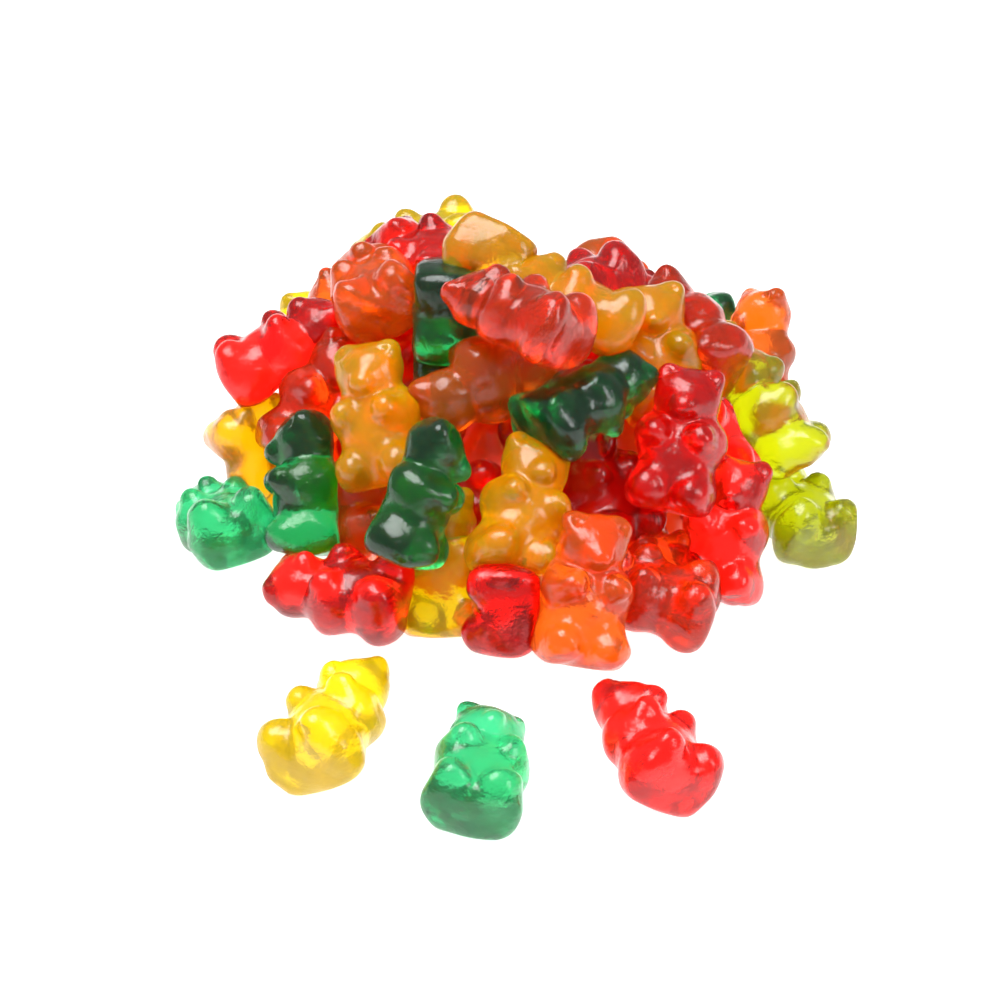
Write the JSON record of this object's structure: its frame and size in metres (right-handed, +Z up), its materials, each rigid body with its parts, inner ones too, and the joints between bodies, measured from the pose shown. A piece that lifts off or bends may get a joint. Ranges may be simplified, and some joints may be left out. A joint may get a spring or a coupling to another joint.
{
  "type": "heap of jelly bears on a bare table",
  "caption": "Low heap of small bear-shaped fruit jellies in mixed colours, with loose ones lying on their backs in front of it.",
  "frame": {"origin": "middle of the heap's underside, on the table", "axes": "+Z up, -Y towards the loose bears in front of the heap, +X to the right as seen from the front"},
  "size_m": [0.0935, 0.1232, 0.0457],
  "materials": {
    "heap": "glossy clear fruit jelly in mixed colours, mostly red, orange and green",
    "red_jelly": "glossy clear red fruit jelly",
    "orange_jelly": "glossy clear orange fruit jelly",
    "amber_jelly": "glossy clear amber fruit jelly",
    "yellow_jelly": "glossy clear yellow fruit jelly",
    "green_jelly": "glossy clear green fruit jelly",
    "lime_jelly": "glossy clear yellow-green fruit jelly"
  },
  "bodies": {
    "root": {"heap": "heap", "loose_bear_yellow": "yellow_jelly", "loose_bear_green": "green_jelly", "loose_bear_red": "red_jelly"}
  },
  "joints": []
}
